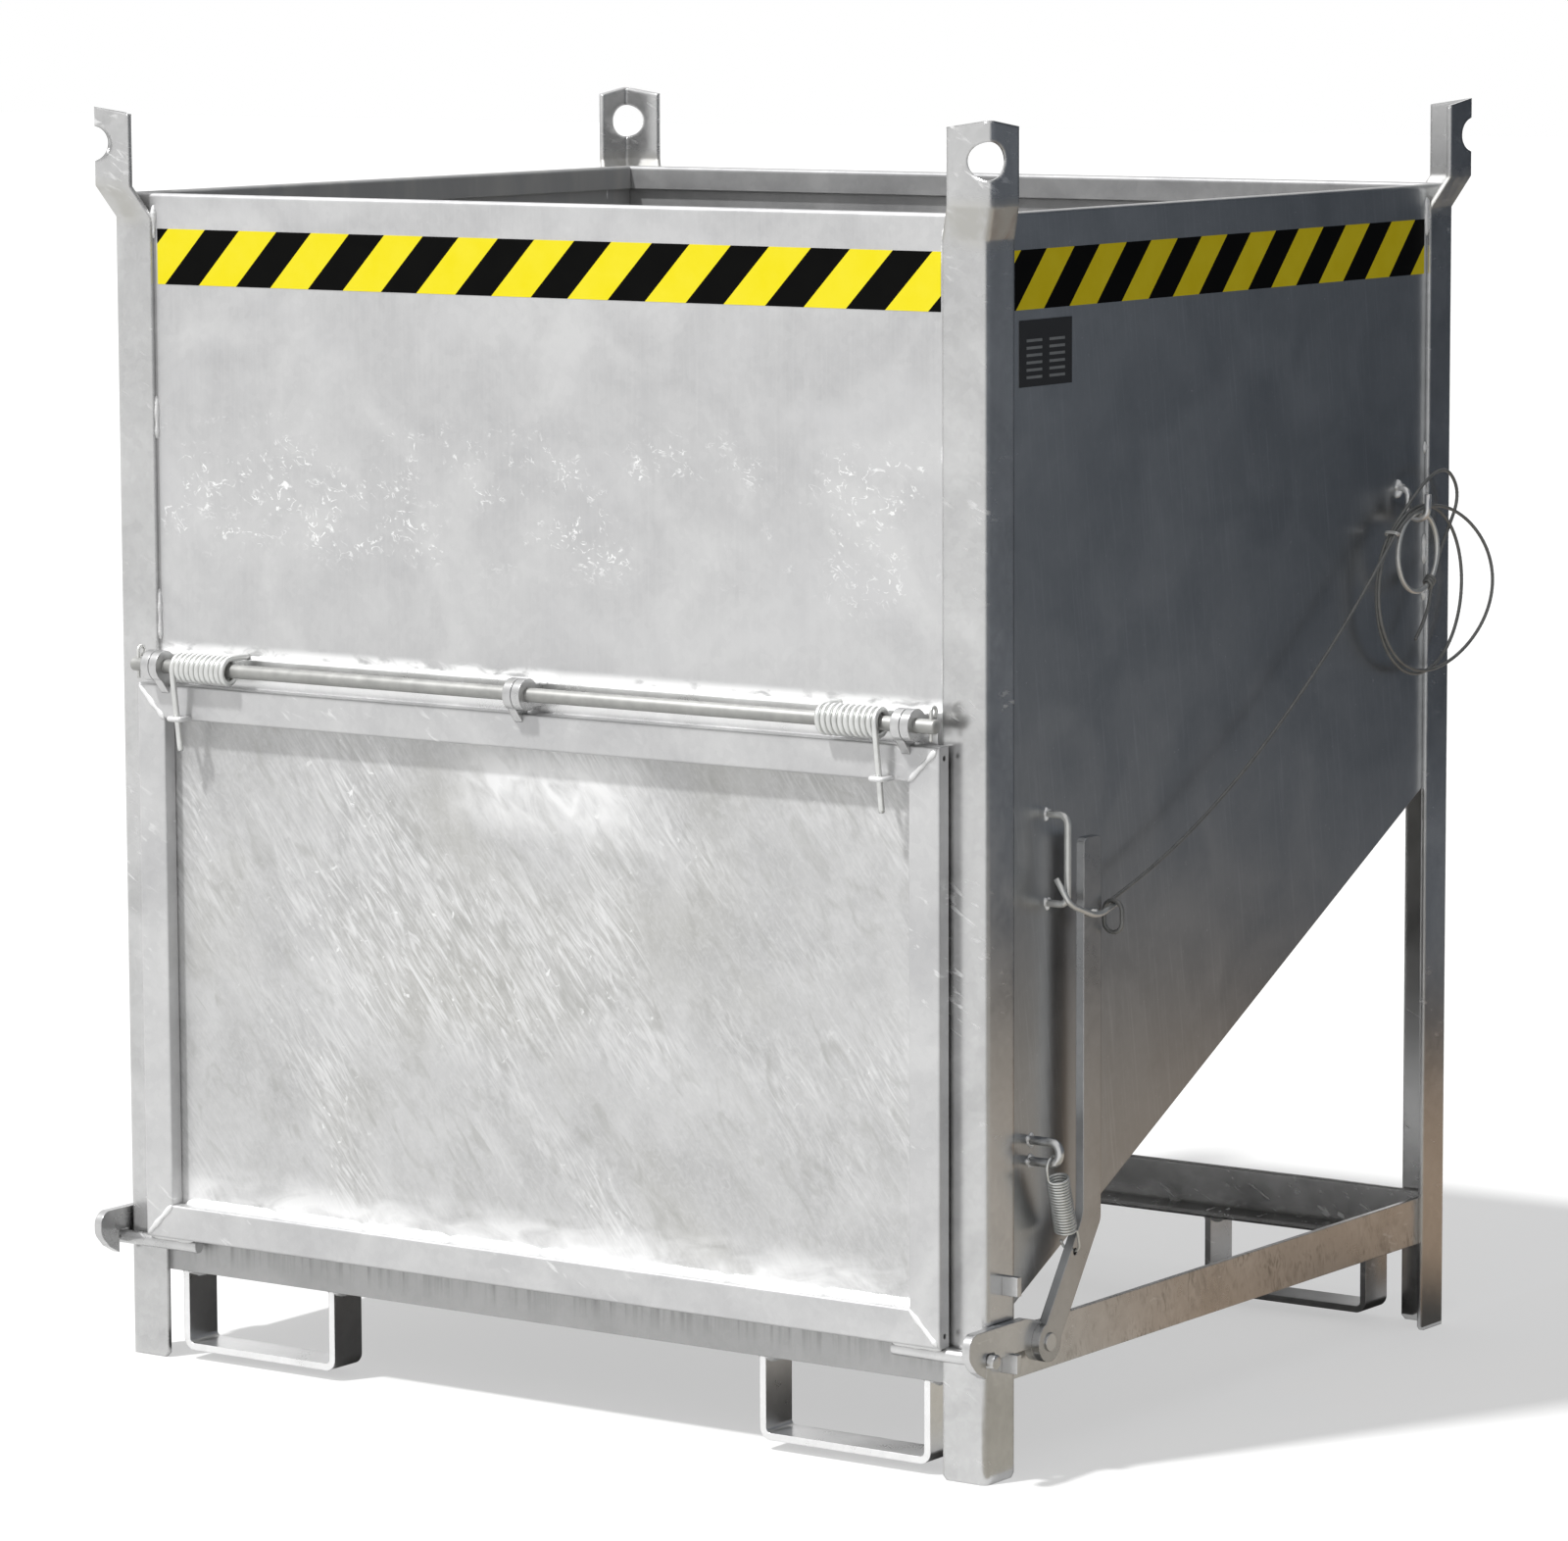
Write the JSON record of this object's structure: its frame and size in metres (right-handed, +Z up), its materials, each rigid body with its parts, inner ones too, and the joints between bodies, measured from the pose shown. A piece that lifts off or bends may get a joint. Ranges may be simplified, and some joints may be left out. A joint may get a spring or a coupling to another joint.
{
  "type": "cement silo container",
  "caption": "Galvanised steel hopper container on corner posts, with a sloping floor, a sprung discharge flap with a rope release, fork pockets and lifting holes.",
  "frame": {"origin": "middle of the footprint of the four posts, on the floor", "axes": "+Z up, -Y towards the discharge flap, +X towards the side with the release lever"},
  "size_m": [1.2667, 1.0714, 1.4583],
  "materials": {
    "galvanised_steel": "hot-dip galvanised, mottled",
    "bright_steel": "zinc plated",
    "spring_steel": "zinc plated spring wire",
    "wire_rope": "laid wire, dull"
  },
  "bodies": {
    "frame": {"post_rear_right": "galvanised_steel", "post_rear_left": "galvanised_steel", "post_front_right": "galvanised_steel", "post_front_left": "galvanised_steel", "front_panel": "galvanised_steel", "rear_panel": "galvanised_steel", "right_panel": "galvanised_steel", "left_panel": "galvanised_steel", "chute_floor": "galvanised_steel", "front_sill": "galvanised_steel", "rear_crossbar": "galvanised_steel", "right_side_bar": "galvanised_steel", "left_side_bar": "galvanised_steel", "fork_loop_front_right": "galvanised_steel", "fork_loop_front_left": "galvanised_steel", "fork_loop_rear_right": "galvanised_steel", "fork_loop_rear_left": "galvanised_steel", "hinge_bar": "galvanised_steel", "body_hinge_eyes": "galvanised_steel", "hinge_rod": "bright_steel", "rod_split_pins": "bright_steel", "torsion_springs": "spring_steel", "lower_hook_stops": "galvanised_steel", "upper_hook_stops": "galvanised_steel", "spring_staple": "galvanised_steel", "keeper_staple": "galvanised_steel", "tension_spring": "spring_steel", "ring_hook": "galvanised_steel", "pull_ring": "bright_steel", "rope_stretch": "wire_rope", "rope_loops": "wire_rope", "rope_tie": "wire_rope"},
    "flap": {"flap_top_tube": "galvanised_steel", "flap_bottom_tube": "galvanised_steel", "flap_right_tube": "galvanised_steel", "flap_left_tube": "galvanised_steel", "flap_sheet": "galvanised_steel", "flap_hinge_eyes": "galvanised_steel", "latch_pins": "galvanised_steel", "spring_rests": "galvanised_steel"},
    "release": {"release_shaft": "galvanised_steel", "latch_hook_right": "galvanised_steel", "latch_hook_left": "galvanised_steel", "release_lever": "galvanised_steel"},
    "lock_hook": {"lock_hook": "bright_steel", "rope_link": "bright_steel"}
  },
  "joints": [
    {"name": "flap_swing", "type": "hinge", "parent": "frame", "child": "flap", "pos_m": [0, -0.528, 0.82], "axis": [-1, 0, 0], "range_deg": [0, 75], "stiffness_Nm_per_rad": 40, "springref_deg": -28.65, "deforming": ["torsion_springs"]},
    {"name": "release_turn", "type": "hinge", "parent": "frame", "child": "release", "pos_m": [0, -0.407, 0.144], "axis": [-1, 0, 0], "range_deg": [0, 23], "stiffness_Nm_per_rad": 20, "springref_deg": -22.92, "deforming": ["tension_spring", "rope_stretch"]},
    {"name": "lock_hook_turn", "type": "hinge", "parent": "release", "child": "lock_hook", "pos_m": [0.6285, -0.323, 0.602], "axis": [1, 0, 0], "range_deg": [0, 30], "deforming": ["rope_stretch"]}
  ]
}
